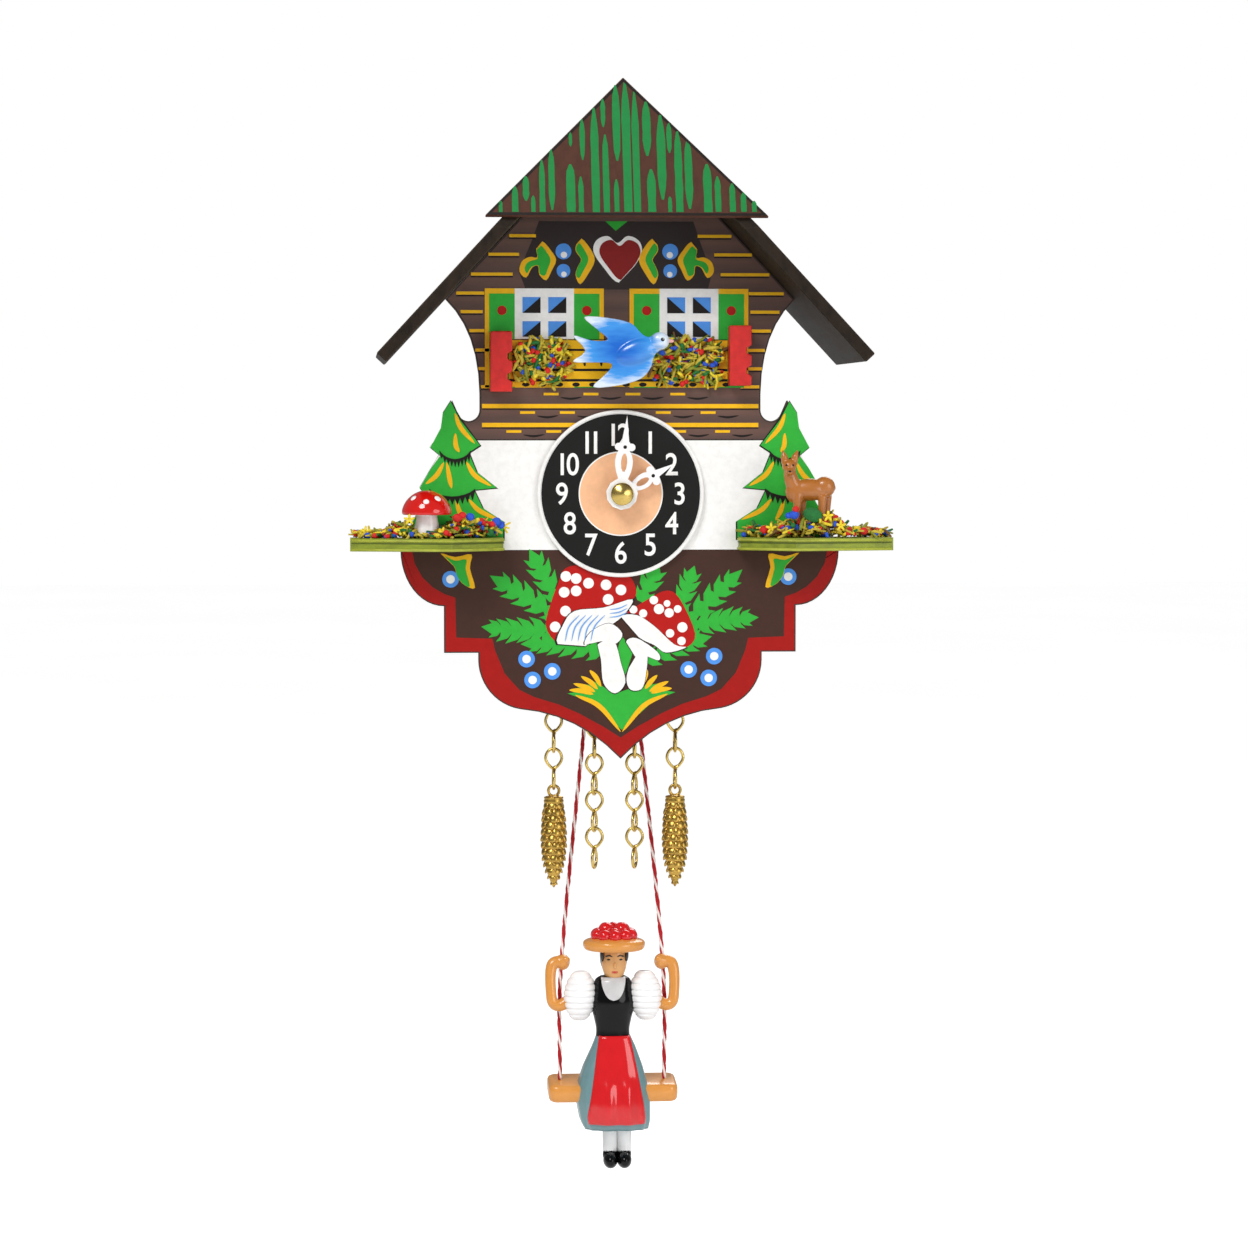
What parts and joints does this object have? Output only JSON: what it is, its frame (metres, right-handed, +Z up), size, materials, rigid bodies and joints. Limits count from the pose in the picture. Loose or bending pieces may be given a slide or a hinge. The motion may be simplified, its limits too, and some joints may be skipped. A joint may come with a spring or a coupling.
{
  "type": "cuckoo clock",
  "caption": "Miniature painted chalet wall clock with dial and hands, key-wound movement, hanging chains with fir cones and a doll on a swing.",
  "frame": {"origin": "middle of the nail the clock hangs on, in the plane of the wall behind it", "axes": "+X to the viewer's right, +Y into the wall, +Z up"},
  "size_m": [0.126, 0.0547, 0.258],
  "materials": {
    "stained_wood": "dark brown stain, satin",
    "painted_board": "printed and painted folk scene, satin lacquer",
    "back_hardboard": "dark stain",
    "painted_hip": "brown with green vertical streaks",
    "olive_wood": "olive green stain, satin",
    "dried_bits": "glued dyed bits, matt",
    "red_wood": "red paint",
    "red_gloss": "gloss lacquer",
    "tan_plastic": "moulded, glossy",
    "blue_plastic": "sprayed blue to white, glossy",
    "dial_paint": "black with white numerals, peach centre",
    "white_plastic": "moulded",
    "brass": "polished",
    "steel": "plain",
    "rope_cotton": "red and white twist",
    "seat_plastic": "moulded",
    "doll_paint": "painted moulding",
    "cone_gold": "antique gold"
  },
  "bodies": {
    "case": {"front_board": "painted_board", "left_side": "stained_wood", "right_side": "stained_wood", "roof_left": "stained_wood", "roof_right": "stained_wood", "bottom_board": "stained_wood", "back_panel": "back_hardboard", "hip_panel": "painted_hip", "shelf_left": "olive_wood", "shelf_right": "olive_wood", "shelf_flowers_left": "dried_bits", "shelf_flowers_right": "dried_bits", "window_flowers_left": "dried_bits", "window_flowers_right": "dried_bits", "bracket_left": "red_wood", "bracket_right": "red_wood", "mushroom": "red_gloss", "deer": "tan_plastic", "swallow": "blue_plastic", "dial": "dial_paint", "front_plate": "brass", "rear_plate": "brass", "chain_eye_outer_left": "brass", "chain_eye_outer_right": "brass", "chain_eye_inner_left": "brass", "chain_eye_inner_right": "brass"},
    "barrel": {"barrel": "brass", "mainspring": "steel"},
    "barrel_arbor": {"barrel_arbor": "steel", "winding_key": "brass"},
    "click": {"click": "steel"},
    "minute_arbor": {"centre_wheel": "brass", "minute_hand": "white_plastic", "hand_nut": "brass"},
    "third_wheel": {"third_wheel": "brass"},
    "fourth_wheel": {"fourth_wheel": "brass"},
    "escape_wheel": {"escape_wheel": "brass"},
    "anchor": {"anchor": "steel"},
    "minute_wheel": {"minute_wheel": "brass"},
    "hour_wheel": {"hour_wheel": "brass", "hour_hand": "white_plastic"},
    "swing": {"swing_rod": "steel", "rope_left": "rope_cotton", "rope_right": "rope_cotton", "swing_seat": "seat_plastic", "doll": "doll_paint"},
    "link_outer_left_1": {"link_outer_left_1": "brass"},
    "link_outer_left_2": {"link_outer_left_2": "brass"},
    "fir_cone_outer_left": {"fir_cone_outer_left": "cone_gold"},
    "link_outer_right_1": {"link_outer_right_1": "brass"},
    "link_outer_right_2": {"link_outer_right_2": "brass"},
    "fir_cone_outer_right": {"fir_cone_outer_right": "cone_gold"},
    "link_inner_left_1": {"link_inner_left_1": "brass"},
    "link_inner_left_2": {"link_inner_left_2": "brass"},
    "link_inner_left_3": {"link_inner_left_3": "brass"},
    "link_inner_left_4": {"link_inner_left_4": "brass"},
    "link_inner_right_1": {"link_inner_right_1": "brass"},
    "link_inner_right_2": {"link_inner_right_2": "brass"},
    "link_inner_right_3": {"link_inner_right_3": "brass"},
    "link_inner_right_4": {"link_inner_right_4": "brass"}
  },
  "joints": [
    {"name": "minute_turn", "type": "hinge", "parent": "case", "child": "minute_arbor", "pos_m": [0, -0.017, -0.0453], "axis": [0, 1, 0], "continuous": true},
    {"name": "hour_turn", "type": "hinge", "parent": "case", "child": "hour_wheel", "pos_m": [0, -0.017, -0.0453], "axis": [0, 1, 0], "continuous": true},
    {"name": "minute_wheel_turn", "type": "hinge", "parent": "case", "child": "minute_wheel", "pos_m": [0.00345, -0.027, -0.03583], "axis": [0, 1, 0], "continuous": true},
    {"name": "barrel_turn", "type": "hinge", "parent": "case", "child": "barrel", "pos_m": [-0.01018, -0.017, -0.03942], "axis": [0, 1, 0], "continuous": true},
    {"name": "third_turn", "type": "hinge", "parent": "case", "child": "third_wheel", "pos_m": [0.01176, -0.017, -0.0453], "axis": [0, 1, 0], "continuous": true},
    {"name": "fourth_turn", "type": "hinge", "parent": "case", "child": "fourth_wheel", "pos_m": [0.00588, -0.017, -0.05548], "axis": [0, 1, 0], "continuous": true},
    {"name": "escape_turn", "type": "hinge", "parent": "case", "child": "escape_wheel", "pos_m": [0, -0.017, -0.06367], "axis": [0, 1, 0], "continuous": true},
    {"name": "winding", "type": "hinge", "parent": "case", "child": "barrel_arbor", "pos_m": [-0.01018, -0.017, -0.03942], "axis": [0, 1, 0], "continuous": true},
    {"name": "click_lift", "type": "hinge", "parent": "case", "child": "click", "pos_m": [-0.00278, -0.0108, -0.03582], "axis": [0, 1, 0], "range_deg": [-14, 0]},
    {"name": "swing", "type": "hinge", "parent": "case", "child": "swing", "pos_m": [-0.001, -0.017, -0.0824], "axis": [1, 0, 0], "range_deg": [-6, 6]},
    {"name": "anchor_rock", "type": "hinge", "parent": "case", "child": "anchor", "pos_m": [0, -0.017, -0.07307], "axis": [0, 1, 0], "range_deg": [-5, 5]},
    {"name": "outer_left_link_1", "type": "hinge", "parent": "case", "child": "link_outer_left_1", "pos_m": [-0.01535, -0.0255, -0.0967], "axis": [1, 0, 0], "range_deg": [-14, 15]},
    {"name": "outer_left_link_2", "type": "hinge", "parent": "link_outer_left_1", "child": "link_outer_left_2", "pos_m": [-0.01535, -0.0255, -0.1054], "axis": [1, 0, 0], "range_deg": [-20, 20]},
    {"name": "outer_left_cone", "type": "hinge", "parent": "link_outer_left_2", "child": "fir_cone_outer_left", "pos_m": [-0.01535, -0.0255, -0.1141], "axis": [1, 0, 0], "range_deg": [-20, 20]},
    {"name": "outer_right_link_1", "type": "hinge", "parent": "case", "child": "link_outer_right_1", "pos_m": [0.01335, -0.0255, -0.0967], "axis": [1, 0, 0], "range_deg": [-14, 15]},
    {"name": "outer_right_link_2", "type": "hinge", "parent": "link_outer_right_1", "child": "link_outer_right_2", "pos_m": [0.01335, -0.0255, -0.1054], "axis": [1, 0, 0], "range_deg": [-20, 20]},
    {"name": "outer_right_cone", "type": "hinge", "parent": "link_outer_right_2", "child": "fir_cone_outer_right", "pos_m": [0.01335, -0.0255, -0.1141], "axis": [1, 0, 0], "range_deg": [-20, 20]},
    {"name": "inner_left_link_1", "type": "hinge", "parent": "case", "child": "link_inner_left_1", "pos_m": [-0.00575, -0.0255, -0.0981], "axis": [1, 0, 0], "range_deg": [-14, 15]},
    {"name": "inner_left_link_2", "type": "hinge", "parent": "link_inner_left_1", "child": "link_inner_left_2", "pos_m": [-0.00575, -0.0255, -0.1068], "axis": [1, 0, 0], "range_deg": [-20, 20]},
    {"name": "inner_left_link_3", "type": "hinge", "parent": "link_inner_left_2", "child": "link_inner_left_3", "pos_m": [-0.00575, -0.0255, -0.1155], "axis": [1, 0, 0], "range_deg": [-20, 20]},
    {"name": "inner_left_link_4", "type": "hinge", "parent": "link_inner_left_3", "child": "link_inner_left_4", "pos_m": [-0.00575, -0.0255, -0.1242], "axis": [1, 0, 0], "range_deg": [-20, 20]},
    {"name": "inner_right_link_1", "type": "hinge", "parent": "case", "child": "link_inner_right_1", "pos_m": [0.00375, -0.0255, -0.0981], "axis": [1, 0, 0], "range_deg": [-14, 15]},
    {"name": "inner_right_link_2", "type": "hinge", "parent": "link_inner_right_1", "child": "link_inner_right_2", "pos_m": [0.00375, -0.0255, -0.1068], "axis": [1, 0, 0], "range_deg": [-20, 20]},
    {"name": "inner_right_link_3", "type": "hinge", "parent": "link_inner_right_2", "child": "link_inner_right_3", "pos_m": [0.00375, -0.0255, -0.1155], "axis": [1, 0, 0], "range_deg": [-20, 20]},
    {"name": "inner_right_link_4", "type": "hinge", "parent": "link_inner_right_3", "child": "link_inner_right_4", "pos_m": [0.00375, -0.0255, -0.1242], "axis": [1, 0, 0], "range_deg": [-20, 20]}
  ],
  "couplings": [
    {"joint": "hour_turn", "follows": "minute_turn", "ratio": 0.083333},
    {"joint": "minute_wheel_turn", "follows": "minute_turn", "ratio": -0.33333},
    {"joint": "barrel_turn", "follows": "minute_turn", "ratio": -0.16667},
    {"joint": "third_turn", "follows": "minute_turn", "ratio": -6},
    {"joint": "fourth_turn", "follows": "minute_turn", "ratio": 36},
    {"joint": "escape_turn", "follows": "minute_turn", "ratio": -180},
    {"joint": "anchor_rock", "follows": "swing", "ratio": 0.7507}
  ]
}
